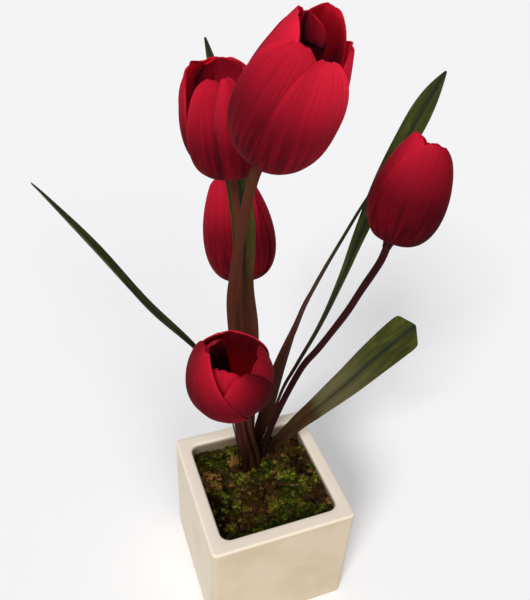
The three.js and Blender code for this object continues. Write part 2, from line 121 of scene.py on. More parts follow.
# Each bloom: where its stem ends, its lean and the bearing it leans towards, the bearing
# that turn 0 faces, radius, height, and the share of its radius left at the mouth.
# Each petal: turn, width, length as a share of the height, flare of the tip, distance from
# the ring that the petals share, cup, how blunt its outline ends, and how far it twists
# round the head from foot to tip.
BLOOMS = {
    "bloom_a": {
        "base": (-17, -19, 347), "lean": 21, "bearing": -55, "facing": -113,
        "radius": 20.8, "height": 61, "mouth": 0.56,
        "petals": [
            (-31, 42, 0.98, 3.5, 0.8, 1, 1.8, 20),
            (42, 42, 0.95, 3.2, 2.4, 1, 1.5, -25),
            (95, 44, 0.97, 2.5, 0.8, 1, 2.0, 0),
            (160, 40, 1.095, 0, -1.6, 0.98, 1.8, 6),
            (213, 44, 1.0, 0, -0.4, 0.98, 2.2, 0),
            (273, 46, 1.06, -2.8, 0.4, 1, 2.2, -2),
        ],
    },
    "bloom_b": {
        "base": (-16, 31, 321), "lean": 15, "bearing": -135, "facing": -107,
        "radius": 22.6, "height": 54.5, "mouth": 0.47,
        "petals": [
            (-14.5, 31, 1.01, -1.9, 2.8, 0.82, 1.85, -6),
            (15, 27, 1.02, -1.7, 3.4, 0.82, 1.4, 0),
            (85, 46, 0.97, 0, 0.6, 1, 2.2, 0),
            (170, 43.5, 0.91, 8, -1.4, 1, 2, 7.5),
            (191.5, 52, 0.91, 8, -0.4, 1, 2.4, 0),
            (248, 46, 0.99, 5.0, -1.0, 1, 2.0, 0),
        ],
    },
    "bloom_c": {
        "base": (1.2, 52, 230), "lean": 24, "bearing": 91, "facing": -109,
        "radius": 21.5, "height": 66, "mouth": 0.3,
        "petals": [
            (-23, 48, 1.0, 3, 1.6, 1, 3, 0),
            (62, 44, 1, 0, 0, 1, 2.2, 0),
            (118, 44, 1, 0, 1.2, 1, 2.2, 0),
            (180, 44, 0.98, 0, -1.2, 0.98, 2.2, 0),
            (238, 46, 1, 0, 1.2, 1, 2.2, 0),
            (300, 44, 0.97, 0, -1.2, 0.98, 2.2, 0),
        ],
    },
    "bloom_d": {
        "base": (-29, -22, 206), "lean": 13, "bearing": -131, "facing": -109,
        "radius": 22.6, "height": 39, "mouth": 0.54,
        "petals": [
            (-33, 52, 1.24, -3.4, 2.8, 1, 1.3, -60),
            (26, 39, 0.97, 3, 0.6, 0.97, 1.35, 0),
            (-12, 33.5, 0.99, 0.4, -1.4, 1, 2.1, -2),
            (76, 46, 0.97, 3.6, -0.8, 1, 2.1, -9),
            (182, 52, 0.89, 4, 1.2, 1.02, 2.2, 0),
            (250, 48, 0.92, 0, -0.4, 0.98, 1.7, 0),
        ],
    },
    "bloom_e": {
        "base": (63.5, -9, 285.5), "lean": 18, "bearing": 13, "facing": -125,
        "radius": 20.3, "height": 54.5, "mouth": 0.41,
        "petals": [
            (13, 53, 1.02, 0.9, 2.0, 0.94, 1.7, 8),
            (-63, 38, 1.06, 2.2, -0.4, 1, 2.2, 2),
            (84, 46, 0.97, 0, 0.4, 1, 2.2, 0),
            (138, 42, 0.99, 0, -1.2, 0.98, 2, 0),
            (196, 44, 0.97, 0, 1.2, 1, 2, 0),
            (244, 42, 1.02, 0, -1.4, 0.98, 2, 0),
        ],
    },
}

# How much darker than the rest each petal is, at its left and right edges: partly its own
# print, partly painted shade on sides turned from the light and where petals overlap; below 0
# it is painted light.
PETAL_TONES_AND_SHADES = {
    "bloom_a": [(0.1, 0.5), (0.2, -0.9), (0.3, 0.1), (0.8, 0.8), (0.8, 0.4), (0.4, -0.9)],
    "bloom_b": [(0.25, 0.7), (-0.3, 0.4), (0.3, 0.3), (-0.6, -0.6), (-0.6, -0.6), (1.3, 0.6)],
    "bloom_c": [(0.4, -0.9), (0.1, 0.1), (0.5, 0.4), (0.2, 0.2), (0.2, 0.2), (0.2, 0.2)],
    "bloom_d": [(1.5, 0.4), (0.5, 1.8), (0.4, 0.4), (1.1, 1.1), (-0.4, -0.4), (-0.2, -0.2)],
    "bloom_e": [(0.0, 1.7), (0.7, -0.3), (-0.4, 0.4), (1.2, 1.2), (1.2, 1.2), (0.4, 0.4)],
}

# How much higher up a petal's inner face behaves as if it were, at its left and right edges:
# raised ones get painted light in bright red, lowered ones painted shade in nearly black red.
# Others are at 0.
PETAL_HOLLOW_LIGHT_SHADE = {
    "bloom_a": {3: (-0.42, -0.42), 4: (0.2, 0.2), 5: (0.45, 0.1)},
    "bloom_b": {3: (0.5, 0.5), 4: (0.5, 0.5), 5: (0.5, 0.5)},
    "bloom_c": {},
    "bloom_d": {3: (-0.38, -0.38), 4: (-0.34, -0.48), 5: (-0.34, -0.34)},
    "bloom_e": {},
}

# Each stem: its bloom, radius, how far its colour goes from brown to maroon, and its line.
STEMS = {
    "stem_a": ("bloom_a", 2.8, 0.1, [
        (-1, 16.5, 88), (-9.5, 19.5, 130), (-16, 22, 211.5), (-19.3, 16.5, 241),
        (-19.5, 12, 260.5), (-19.5, 1, 296.5)]),
    "stem_b": ("bloom_b", 2.3, 0.0, [
        (4.5, 19.5, 88), (-2.5, 22.5, 124.5), (-9, 28, 205), (-10.5, 29, 239),
        (-11, 29, 267.5), (-11.5, 30.5, 285)]),
    "stem_c": ("bloom_c", 2.3, 0.4, [(2.5, 32, 88), (5, 41, 130), (5, 46, 177)]),
    "stem_d": ("bloom_d", 2.3, 0.8, [(-6.5, 15.5, 88), (-14, 4, 128), (-22, -10, 165)]),
    "stem_e": ("bloom_e", 2.3, 1.0, [
        (10, 24, 88), (18, 22.5, 128), (31.5, 19.5, 170.5), (40.5, 16, 189),
        (46.5, 9.5, 209.5), (52.5, 5, 227.5), (57.5, 2, 244)]),
}

# Each leaf: its midrib's line, width, the share of its length where it is widest, how
# slowly it widens, the fold of its halves, the way its face looks low down and at the tip,
# half the width at the tip and just above the moss, how much shorter its edges are than its
# midrib, and how far up its brown base reaches.
LEAVES = {
    "leaf_1": ([(-9.5, 19.5, 88), (-13, 22, 122), (-23, 21.5, 165.5), (-38.6, 22, 203),
                (-68.6, 23.5, 246), (-91.3, 22, 285.5), (-115, 19, 328)],
               15, 0.72, 6, 14, (0.8, -0.3, 0.2), (0.7, 0.05, 0.62), 0.5, 1.8, 0, 0.45),
    "leaf_2": ([(-2, 24.5, 88), (-0.5, 30, 141.5), (-1, 33, 199), (-5.8, 34.5, 237.5),
                (-6, 35, 269.5), (-6.5, 42, 292), (-9, 50.5, 319), (-13, 58, 344.5),
                (-18.5, 70, 374)],
               14, 0.72, 1.1, 8, (-0.25, -0.95, 0.1), (-0.1, -0.95, 0.3), 0.5, 4.2, 0, 0.6),
    "leaf_3": ([(12.5, 29.5, 88), (22.5, 28.5, 141), (33, 28.5, 166.5), (47.5, 29.5, 198),
                (60.5, 31, 234), (69.5, 32, 264), (80.5, 33, 298), (93, 34, 327),
                (102, 34.5, 347), (109, 35, 359.5)],
               14, 0.88, 6, 14, (-0.83, 0.19, 0.43), (-0.45, -0.65, 0.6), 0.5, 1.5, 0, 0.35),
    "leaf_4": ([(8, 33.5, 88), (16, 37, 117), (24.3, 38, 154.5), (28.4, 38.5, 169),
                (35, 38.5, 190), (40.3, 38, 210.5), (50.6, 37, 237.5), (60.2, 33, 266),
                (69, 27, 296)],
               13, 0.35, 1.1, 16, (-0.35, -0.85, 0.4), (-0.45, 0.9, 0.1), 0.5, 3.7, 0, 0.75),
    "leaf_5": ([(15.5, 24.2, 88), (21, 17, 109), (31, 11, 129.5), (41.4, 6, 145.6),
                (55.5, -1, 169.4), (68.6, -7.5, 193.3), (88.8, -15.8, 223.8)],
               24.5, 0.97, 2.2, 6, (-0.3, -0.2, 0.9), (-0.62, -0.35, 0.7), 11.5, 4.4, 5.5,
               0.49),
}

# The moss is copies of a few clumps of sprigs. In millimetres: the step of their grid, how
# far they stray from it and stay off the wall, and half the width of a sprig's foot.
CLUMP_KINDS = 10
CLUMP_STEP = 2.05
CLUMP_STRAY = 0.8
CLUMP_MARGIN = 1.2
SPRIGS_IN_CLUMP = 26
SPRIG_FOOT = 0.42

# The moss is banked up against the right wall, from this far out.
MOSS_BANK = 5.0
MOSS_BANK_FROM = 16.0

# Patches of the moss that stand out: their kind, middle and reach in millimetres.
MOSS_SPOTS = [
    ("straw", (-31, 15), 9), ("green", (-25, 31), 11), ("straw", (-12, 26), 5),
    ("light", (-12, 8), 4), ("deep", (-34, -5), 9), ("deep", (-35, -19), 8),
    ("dry", (6, -5), 9), ("dry", (-11, -13), 8), ("light", (12, -18), 5),
    ("deep", (33, -3), 7), ("deep", (31, 9), 6), ("light", (40, -11), 4),
    ("dry", (22, 24), 12), ("light", (23, 4), 4), ("straw", (39, -33), 4),
    ("green", (-4, -33), 12), ("green", (20, -33), 10),
]


def linear(code):
    """An sRGB hex colour as linear RGBA."""
    parts = [int(code[i:i + 2], 16) / 255 for i in (1, 3, 5)]
    curve = [c / 12.92 if c <= 0.04045 else ((c + 0.055) / 1.055) ** 2.4 for c in parts]
    return (*curve, 1.0)


def colour(label, description, code):
    """A colour property with its default."""
    return bpy.props.FloatVectorProperty(
        name=label, description=description, default=linear(code),
        size=4, min=0.0, max=1.0, subtype="COLOR",
    )


def length(label, description, default):
    """A length property in metres."""
    return bpy.props.FloatProperty(
        name=label, description=description, default=default,
        min=0.0, precision=5, subtype="DISTANCE", unit="LENGTH",
    )


POT_LOW, POT_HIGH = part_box("pot")


class TulipSizes(bpy.types.PropertyGroup):
    """Sizes of the dressed plant."""

    pot_width: length("Pot width", "Outside width of the square pot", POT_HIGH.x - POT_LOW.x)
    pot_height: length("Pot height", "Height of the pot's rim", POT_HIGH.z - POT_LOW.z)
    pot_wall: length("Pot wall", "Thickness of the pot's wall", 9.1 * MM)
    petal: length("Petal thickness", "Thickness of a petal", 0.6 * MM)
    leaf: length("Leaf thickness", "Thickness of a leaf's blade", 0.6 * MM)
    ruffle: length("Petal ruffle", "How far a petal's rim waves in and out", 0.7 * MM)
    sprig: length("Moss sprig", "Height of the tallest sprigs of moss", 2.6 * MM)


class TulipColours(bpy.types.PropertyGroup):
    """Colours of the dressed plant."""

    petal: colour("Petal", "Most of a petal", "#6D0A17")
    # The petal base colour is dark print, and painted shade at the foot and in the hollow.
    petal_deep: colour("Petal base", "A petal's base and its dark streaks", "#30050A")
    petal_bright: colour("Petal tip", "A petal's rim, where the light catches it", "#C41A31")
    leaf: colour("Leaf", "A leaf's blade", "#393D1A")
    leaf_light: colour("Leaf light", "Yellowish patches of a leaf", "#4E5020")
    leaf_pale: colour("Leaf pale", "The tan lower half of the broad leaf", "#6B6246")
    leaf_rib: colour("Leaf midrib", "The dark line along a leaf's middle", "#1E2822")
    leaf_base: colour("Leaf base", "The brown foot of a leaf", "#4A2419")
    stem: colour("Stem", "Brown stems", "#532A1C")
    stem_deep: colour("Stem maroon", "Maroon stems", "#2C1012")
    pot: colour("Pot", "The pot's ceramic", "#D9CCB9")
    # The pot's rim colour is a painted highlight on the rim's flat.
    pot_rim_lit: colour("Pot rim", "The paler flat of the rim", "#FAECDA")
    # The stain colour is real tan clouds, and painted shade on the front face.
    pot_stain_and_shade: colour("Pot stain", "Faint tan clouds in the ceramic", "#B5A283")
    # The damp colour is painted shade on the inner wall.
    pot_wall_shade: colour("Pot damp", "The stained inner wall just above the moss", "#6F6149")
    moss: colour("Moss", "Green moss", "#34400F")
    moss_light: colour("Moss light", "Fresh tips of the moss", "#7E8326")
    moss_dry: colour("Moss dry", "Dry brown moss", "#4A2F15")
    moss_straw: colour("Moss straw", "Bleached tan wisps among the moss", "#A2753F")
    # The deep moss colour is also painted shade in the clefts of the moss and low on stems and
    # leaves.
    moss_deep: colour("Moss deep", "The dark bed under the sprigs", "#120E06")


# Settings of nodes: a smooth ramp, a product, a mix of two colours, and one colour tinted
# by another.
SMOOTH = {"interpolation_type": "SMOOTHSTEP"}
TIMES = {"operation": "MULTIPLY"}
MIX = {"data_type": "RGBA"}
TINT = {"data_type": "RGBA", "blend_type": "MULTIPLY"}
MIX_COLOUR = 2


def add(tree, kind, settings=None, sockets=None):
    """Adds a shader node with its settings, its socket values and its links. A node that is
    given for a socket stands for its main output. Math nodes count their sockets from 0, and
    Mix nodes take their share at 0 and their two colours at 6 and 7."""
    made = tree.nodes.new("ShaderNode" + kind)
    for name, value in (settings or {}).items():
        setattr(made, name, value)
    for name, value in (sockets or {}).items():
        if isinstance(value, bpy.types.Node):
            value = value.outputs[MIX_COLOUR if value.bl_idname == "ShaderNodeMix" else 0]
        if isinstance(value, bpy.types.NodeSocket):
            tree.links.new(value, made.inputs[name])
        else:
            made.inputs[name].default_value = value
    return made


def silk_petal(tree, colours, foot_end=0.42, deep=0.85, lip=0.4, highlight_from=0.55, toned=0.5,
               depth=0.5, hollow_shaded=0.0):
    """Printed polyester silk: a matt cloth that glows at grazing angles, with fine pressed
    ribs that fan out from the foot, a dark foot that is print deepened by painted shade, a
    painted highlight towards the top, paler, pinker rims that are partly a painted highlight,
    and petal tones that are partly painted shade."""
    # strand holds millimetres across, the share along, and a number that differs between
    # petals. The ribs are about 0.9 mm apart, and the printed streaks about 2.5 mm.
    strand = add(tree, "Attribute", {"attribute_name": "strand"}).outputs["Vector"]
    hollow_light_shade, rim, tone_and_shade = (add(tree, "Attribute", {"attribute_name": name}).outputs["Fac"]
                         for name in ("hollow_light_shade", "rim", "tone_and_shade"))
    place = add(tree, "SeparateXYZ", {}, {"Vector": strand})
    # The hollow light and shade shifts the inner face up or down: painted light and painted shade.
    rise = add(tree, "Math", {"operation": "MULTIPLY_ADD"}, {
        0: hollow_light_shade, 1: hollow_shaded, 2: place.outputs["Y"]})
    ribs_at = add(tree, "Mapping", {}, {"Vector": strand, "Scale": (1.0, 1.2, 1.0)})
    ribs = add(tree, "TexNoise", {}, {
        "Vector": ribs_at, "Scale": 1.15, "Detail": 2.0, "Roughness": 0.6})
    print_at = add(tree, "Mapping", {}, {"Vector": strand, "Scale": (1.0, 8.0, 1.0)})
    streaks = add(tree, "TexNoise", {}, {
        "Vector": print_at, "Scale": 0.4, "Detail": 3.0, "Roughness": 0.6})
    streak = add(tree, "MapRange", SMOOTH, {"Value": streaks, "From Min": 0.42, "From Max": 0.6})
    low = add(tree, "MapRange", SMOOTH, {"Value": rise, "From Min": 0.85, "From Max": 0.15})
    # The foot goes dark: dark print, and painted shade low on the petal; inside, painted shade in
    # the hollow.
    foot = add(tree, "MapRange", SMOOTH, {"Value": rise, "From Min": foot_end, "From Max": 0.0})
    streaky = add(tree, "Math", TIMES, {0: streak, 1: low})
    dark = add(tree, "Math", {"operation": "MAXIMUM"}, {0: streaky, 1: foot})
    dim = add(tree, "Math", TIMES, {0: dark, 1: deep})
    body = add(tree, "Mix", MIX, {0: dim, 6: colours.petal, 7: colours.petal_deep})
    # The upper petal turns to the bright tip colour: a painted highlight, and so is part of the
    # pale rim.
    high = add(tree, "MapRange", SMOOTH, {
        "Value": rise, "From Min": highlight_from, "From Max": 0.97, "To Max": 0.9})
    edge = add(tree, "Math", {"operation": "MULTIPLY_ADD", "use_clamp": True}, {
        0: rim, 1: lip, 2: high})
    bright = add(tree, "Mix", MIX, {0: edge, 6: body, 7: colours.petal_bright})
    grain = add(tree, "MapRange", {}, {
        "Value": ribs, "From Min": 0.3, "From Max": 0.7, "To Min": 0.8, "To Max": 1.14})
    # Each petal's tone darkens or lightens it: partly print, partly painted shade and light.
    gain = add(tree, "Math", {"operation": "MULTIPLY_ADD"}, {0: tone_and_shade, 1: -toned, 2: 1.0})
    tone_shade_gain = add(tree, "Math", TIMES, {0: gain, 1: grain})
    shade = add(tree, "Mix", TINT, {0: 1.0, 6: bright, 7: tone_shade_gain})
    bump = add(tree, "Bump", {}, {"Height": ribs, "Strength": 0.5, "Distance": 0.25 * MM})
    return add(tree, "BsdfPrincipled", {}, {
        "Base Color": shade, "Roughness": 0.8, "Specular IOR Level": 0.03,
        "Subsurface Weight": depth, "Subsurface Radius": (1.0, 0.12, 0.14),
        "Subsurface Scale": 4.0 * MM,
        "Sheen Weight": 0.03, "Sheen Roughness": 0.35, "Sheen Tint": (1.0, 0.3, 0.35, 1.0),
        "Normal": bump})


def silk_petal_inside(tree, colours):
    """The petal cloth's inner face: painted shade carries the dark of the foot most of the way
    up, so a head looks deep and nearly black inside, and the rim gets a stronger painted
    highlight."""
    return silk_petal(tree, colours, foot_end=0.7, deep=0.97, lip=1.0, highlight_from=0.3,
                      toned=0.15, depth=1.0, hollow_shaded=1.0)


def shade_near_moss(tree, colours, colour, along, unshaded, shaded):
    """Darkens a colour towards the moss with painted shade, from unshaded down to shaded along the
    piece.
    """
    near = add(tree, "MapRange", SMOOTH, {
        "Value": along, "From Min": unshaded, "From Max": shaded, "To Max": 0.75})
    return add(tree, "Mix", MIX, {0: near, 6: colour, 7: colours.moss_deep})


def silk_leaf(tree, colours):
    """Printed polyester leaf cloth: satin, with fine ribs along it, a dark line down the
    middle, yellowish clouds, a brown foot, and painted shade low down towards the moss."""
    # strand holds millimetres across, centimetres along, and the leaf's own number. The ribs
    # are about 0.8 mm apart.
    strand = add(tree, "Attribute", {"attribute_name": "strand"}).outputs["Vector"]
    brown, pale = (add(tree, "Attribute", {"attribute_name": name}).outputs["Fac"]
                   for name in ("foot", "pale"))
    place = add(tree, "SeparateXYZ", {}, {"Vector": strand})
    ribs_at = add(tree, "Mapping", {}, {"Vector": strand, "Scale": (1.0, 0.35, 1.0)})
    ribs = add(tree, "TexNoise", {}, {"Vector": ribs_at, "Scale": 1.3, "Detail": 2.0})
    clouds_at = add(tree, "Mapping", {}, {"Vector": strand, "Scale": (0.5, 1.2, 1.0)})
    clouds = add(tree, "TexNoise", {}, {"Vector": clouds_at, "Scale": 0.6, "Detail": 3.0})
    cloud = add(tree, "MapRange", SMOOTH, {
        "Value": clouds, "From Min": 0.45, "From Max": 0.68, "To Max": 0.7})
    blade = add(tree, "Mix", MIX, {0: cloud, 6: colours.leaf, 7: colours.leaf_light})
    off = add(tree, "Math", {"operation": "ABSOLUTE"}, {0: place.outputs["X"]})
    line = add(tree, "MapRange", SMOOTH, {
        "Value": off, "From Min": 2.2, "From Max": 0.3, "To Max": 0.85})
    ribbed = add(tree, "Mix", MIX, {0: line, 6: blade, 7: colours.leaf_rib})
    tanned = add(tree, "Mix", MIX, {0: pale, 6: ribbed, 7: colours.leaf_pale})
    footed = add(tree, "Mix", MIX, {0: brown, 6: tanned, 7: colours.leaf_base})
    # Painted shade darkens the leaf low down, towards the moss.
    moss_shaded = shade_near_moss(tree, colours, footed, place.outputs["Y"], 11.0, 4.5)
    grain = add(tree, "MapRange", {}, {
        "Value": ribs, "From Min": 0.3, "From Max": 0.7, "To Min": 0.75, "To Max": 1.15})
    shade = add(tree, "Mix", TINT, {0: 1.0, 6: moss_shaded, 7: grain})
    bump = add(tree, "Bump", {}, {"Height": ribs, "Strength": 0.5, "Distance": 0.25 * MM})
    return add(tree, "BsdfPrincipled", {}, {
        "Base Color": shade, "Roughness": 0.6, "Specular IOR Level": 0.04, "Normal": bump})


def wrapped_stem(tree, colours):
    """Wire in moulded polyethylene: satin brown to maroon, with shallow lengthwise lines,
    and painted shade low down towards the moss.
    """
    # strand holds millimetres round the stem, millimetres along it, and its share of maroon.
    strand = add(tree, "Attribute", {"attribute_name": "strand"}).outputs["Vector"]
    place = add(tree, "SeparateXYZ", {}, {"Vector": strand})
    lines_at = add(tree, "Mapping", {}, {"Vector": strand, "Scale": (1.0, 0.04, 1.0)})
    lines = add(tree, "TexNoise", {}, {"Vector": lines_at, "Scale": 0.9, "Detail": 3.0})
    base = add(tree, "Mix", MIX, {0: place.outputs["Z"], 6: colours.stem, 7: colours.stem_deep})
    tint = add(tree, "MapRange", {}, {
        "Value": lines, "From Min": 0.5, "From Max": 0.75, "To Max": 0.45})
    mixed = add(tree, "Mix", MIX, {0: tint, 6: base, 7: colours.leaf_base})
    # Painted shade darkens the stem low down, towards the moss.
    moss_shaded = shade_near_moss(tree, colours, mixed, place.outputs["Y"], 105.0, 45.0)
    bump = add(tree, "Bump", {}, {"Height": lines, "Strength": 0.5, "Distance": 0.3 * MM})
    return add(tree, "BsdfPrincipled", {}, {
        "Base Color": moss_shaded, "Roughness": 0.65, "Specular IOR Level": 0.03, "Normal": bump})


def bisque(tree, colours):
    """Unglazed ceramic: matt and warm, with faint tan clouds and a fine sandy tooth. The front
    face is more tan with painted shade, the inner wall above the moss darker with painted shade,
    and the flat of the rim paler with a painted highlight.
    """
    spot = add(tree, "TexCoord").outputs["Object"]
    axes = add(tree, "SeparateXYZ", {}, {"Vector": spot})
    # The clouds are about 45 mm across.
    clouds = add(tree, "TexNoise", {}, {
        "Vector": spot, "Scale": 22.0, "Detail": 4.0, "Roughness": 0.6})
    cloud = add(tree, "MapRange", SMOOTH, {
        "Value": clouds, "From Min": 0.42, "From Max": 0.75, "To Max": 0.3})
    # The front face is painted more tan than the sides: painted shade.
    front_shade = add(tree, "MapRange", SMOOTH, {
        "Value": axes.outputs["Y"], "From Min": FRONT_SHADE[0], "From Max": FRONT_SHADE[1],
        "To Max": 0.62})
    stain_and_shade = add(tree, "Math", {"operation": "ADD", "use_clamp": True}, {0: cloud, 1: front_shade})
    body = add(tree, "Mix", MIX, {0: stain_and_shade, 6: colours.pot, 7: colours.pot_stain_and_shade})
    # The flat of the rim is the palest part: a painted highlight on the face turned up to the
    # light.
    rim = add(tree, "MapRange", SMOOTH, {
        "Value": axes.outputs["Z"], "From Min": RIM_FLAT[0], "From Max": RIM_FLAT[1],
        "To Max": 0.7})
    base = add(tree, "Mix", MIX, {0: rim, 6: body, 7: colours.pot_rim_lit})
    # The inner wall just above the moss is darkened: painted shade down in the cavity.
    sides = [add(tree, "Math", {"operation": "ABSOLUTE"}, {0: axes.outputs[k]})
             for k in ("X", "Y")]
    out = add(tree, "Math", {"operation": "MAXIMUM"}, {0: sides[0], 1: sides[1]})
    inner = add(tree, "MapRange", SMOOTH, {
        "Value": out, "From Min": INNER_WALL[0], "From Max": INNER_WALL[1]})
    below = add(tree, "MapRange", SMOOTH, {
        "Value": axes.outputs["Z"], "From Min": DOWN_WALL[0], "From Max": DOWN_WALL[1],
        "To Max": 0.95})
    wall_shaded = add(tree, "Math", TIMES, {0: inner, 1: below})
    hollow_shaded = add(tree, "Mix", MIX, {0: wall_shaded, 6: base, 7: colours.pot_wall_shade})
    # Grit of about 0.7 mm, as coarse as it needs to be to show, on dents 17 mm across.
    grit = add(tree, "TexNoise", {}, {"Vector": spot, "Scale": 1400.0, "Detail": 2.0})
    dents = add(tree, "TexNoise", {}, {"Vector": spot, "Scale": 60.0, "Detail": 3.0})
    tooth = add(tree, "Bump", {}, {"Height": grit, "Strength": 0.25, "Distance": 0.1 * MM})
    uneven = add(tree, "Bump", {}, {
        "Height": dents, "Strength": 0.3, "Distance": 0.8 * MM, "Normal": tooth})
    return add(tree, "BsdfPrincipled", {}, {
        "Base Color": hollow_shaded, "Roughness": 0.7, "Specular IOR Level": 0.35, "Normal": uneven})


def moss_sprigs(tree, _colours):
    """Dried cushion moss: matt, each clump in its own green, olive or brown, with paler and
    darker sprigs in it."""
    # Lighter and darker every 2 mm, so that neighbouring sprigs differ.
    tint = add(tree, "Attribute", {"attribute_name": "tint"}).outputs["Color"]
    spot = add(tree, "TexCoord").outputs["Object"]
    mottle = add(tree, "TexNoise", {}, {"Vector": spot, "Scale": 500.0, "Detail": 2.0})
    gain = add(tree, "MapRange", {}, {
        "Value": mottle, "From Min": 0.35, "From Max": 0.65, "To Min": 0.55, "To Max": 1.85})
    shade = add(tree, "Mix", TINT, {0: 1.0, 6: tint, 7: gain})
    return add(tree, "BsdfPrincipled", {}, {
        "Base Color": shade, "Roughness": 0.85, "Specular IOR Level": 0.05})


def moss_bed(tree, colours):
    """Felted moss and earth under the sprigs: nearly black brown, with pits 3 mm across."""
    spot = add(tree, "TexCoord").outputs["Object"]
    pits = add(tree, "TexNoise", {}, {"Vector": spot, "Scale": 320.0, "Detail": 4.0})
    base = add(tree, "Mix", MIX, {0: pits, 6: colours.moss_deep, 7: colours.moss_dry})
    bump = add(tree, "Bump", {}, {"Height": pits, "Strength": 0.8, "Distance": 1.0 * MM})
    return add(tree, "BsdfPrincipled", {}, {
        "Base Color": base, "Roughness": 0.95, "Specular IOR Level": 0.1, "Normal": bump})


def floral_foam(tree, colours):
    """Phenolic foam: matt dark green, with an open sandy cell of about 1 mm."""
    spot = add(tree, "TexCoord").outputs["Object"]
    cells = add(tree, "TexNoise", {}, {"Vector": spot, "Scale": 900.0, "Detail": 2.0})
    base = add(tree, "Mix", MIX, {0: cells, 6: colours.moss_deep, 7: colours.moss})
    return add(tree, "BsdfPrincipled", {}, {"Base Color": base, "Roughness": 0.95})


def white_paper(tree, _colours):
    """Uncoated white paper for the floor: matt, with next to no shine."""
    return add(tree, "BsdfPrincipled", {}, {
        "Base Color": linear("#FFFFFF"), "Roughness": 0.9, "Specular IOR Level": 0.1})


FINISHES = {finish.__name__: finish for finish in (
    silk_petal, silk_petal_inside, silk_leaf, wrapped_stem, bisque, moss_sprigs, moss_bed,
    floral_foam, white_paper)}


def material(name):
    """A material of this scene by name, made the first time it is asked for."""
    found = bpy.data.materials.get(name)
    if found:
        return found
    made = bpy.data.materials.new(name)
    made.use_nodes = True
    tree = made.node_tree
    tree.nodes.clear()
    surface = FINISHES[name](tree, bpy.context.scene.tulip_colours)
    add(tree, "OutputMaterial", {}, {"Surface": surface})
    return made


def make_piece(name, bm, surface, node, thickness=0.0, levels=1):
    """Turns a bmesh into a finished piece that rides on the root body."""
    mesh = bpy.data.meshes.new(name)
    bm.to_mesh(mesh)
    bm.free()
    mesh.shade_smooth()
    mesh.materials.append(material(surface))
    piece = bpy.data.objects.new(name, mesh)
    bpy.context.scene.collection.objects.link(piece)
    if thickness:
        shell = piece.modifiers.new("thickness", "SOLIDIFY")
        shell.thickness = thickness
        shell.offset = 0.0
    if levels:
        soften = piece.modifiers.new("soften", "SUBSURF")
        soften.levels = levels
        soften.render_levels = levels
    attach(piece, "root")
    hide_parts(node)
    return piece


def smooth_line(points, count):
    """count + 1 points at even steps along the Catmull-Rom curve through the points, and
    the curve's length."""
    fine = 24
    line = [Vector(p) for p in points]
    line = [2 * line[0] - line[1], *line, 2 * line[-1] - line[-2]]
    dense = []
    for a, b, c, d in zip(line, line[1:], line[2:], line[3:]):
        for t in (k / fine for k in range(fine)):
            dense.append(0.5 * (2 * b + (c - a) * t + (2 * a - 5 * b + 4 * c - d) * t ** 2
                                + (3 * b - a - 3 * c + d) * t ** 3))
    dense.append(line[-2])
    reach = [0.0]
    for p, q in zip(dense, dense[1:]):
        reach.append(reach[-1] + (q - p).length)
    even, k = [], 0
    for i in range(count + 1):
        goal = reach[-1] * i / count
        while k < len(reach) - 2 and reach[k + 1] < goal:
            k += 1
        share = (goal - reach[k]) / (reach[k + 1] - reach[k])
        even.append(dense[k].lerp(dense[k + 1], share))
    return even, reach[-1]


def tangents(points):
    """The direction of a line at each of its points."""
    last = len(points) - 1
    return [(points[min(i + 1, last)] - points[max(i - 1, 0)]).normalized()
            for i in range(last + 1)]


def loft(bm, rings):
    """A closed tube through rings that all have the same number of points."""
    verts = bmesh.ops.create_circle(bm, segments=len(rings[0]), radius=1.0, cap_ends=True)["verts"]
    edges = [e for e in bm.edges if e.verts[0] in verts and e.verts[1] in verts]
    order = sorted(verts, key=lambda v: math.atan2(v.co.y, v.co.x) % math.tau)
    for vert, place in zip(order, rings[0]):
        vert.co = place
    for ring in rings[1:]:
        ends = {v: i for i, v in enumerate(order)}
        out = bmesh.ops.extrude_edge_only(bm, edges=edges)["geom"]
        fresh = [g for g in out if isinstance(g, bmesh.types.BMVert)]
        edges = [g for g in out if isinstance(g, bmesh.types.BMEdge)
                 and g.verts[0] in fresh and g.verts[1] in fresh]
        order = [None] * len(order)
        for vert in fresh:
            below = next(v for v in (e.other_vert(vert) for e in vert.link_edges) if v in ends)
            order[ends[below]] = vert
        for vert, place in zip(order, ring):
            vert.co = place
    bmesh.ops.contextual_create(bm, geom=edges)
    bmesh.ops.recalc_face_normals(bm, faces=bm.faces)
    return bm


def bloom_frame(bloom):
    """A bloom's own frame: turn 0, turn 90 and the axis as columns, at its base."""
    lean, bearing, facing = (math.radians(bloom[k]) for k in ("lean", "bearing", "facing"))
    axis = Vector((math.sin(lean) * math.cos(bearing), math.sin(lean) * math.sin(bearing),
                   math.cos(lean)))
    front = Vector((math.cos(facing), math.sin(facing), 0))
    front = (front - axis * front.dot(axis)).normalized()
    side = axis.cross(front)
    turned = Matrix((front, side, axis)).transposed().to_4x4()
    return Matrix.Translation(Vector(bloom["base"])) @ turned


def smoothstep(x, low, high):
    """0 at low and before it, 1 at high and past it, smooth between."""
    t = min(1.0, max(0.0, (x - low) / (high - low)))
    return t * t * (3 - 2 * t)


def petal_girth(v, blunt):
    """A petal's girth at a height, as a share of its width: a narrow foot, then an outline
    that closes over the tip like the end of a rounded leaf."""
    if v < PETAL_WIDEST:
        return PETAL_BASE_SHARE + (1 - PETAL_BASE_SHARE) * math.sin(math.pi * 0.8 * v ** 0.85)
    past = (v - PETAL_WIDEST) / (1 - PETAL_WIDEST)
    return (1 - past ** blunt * (1 - PETAL_TIP_SHARE ** blunt)) ** (1 / blunt)


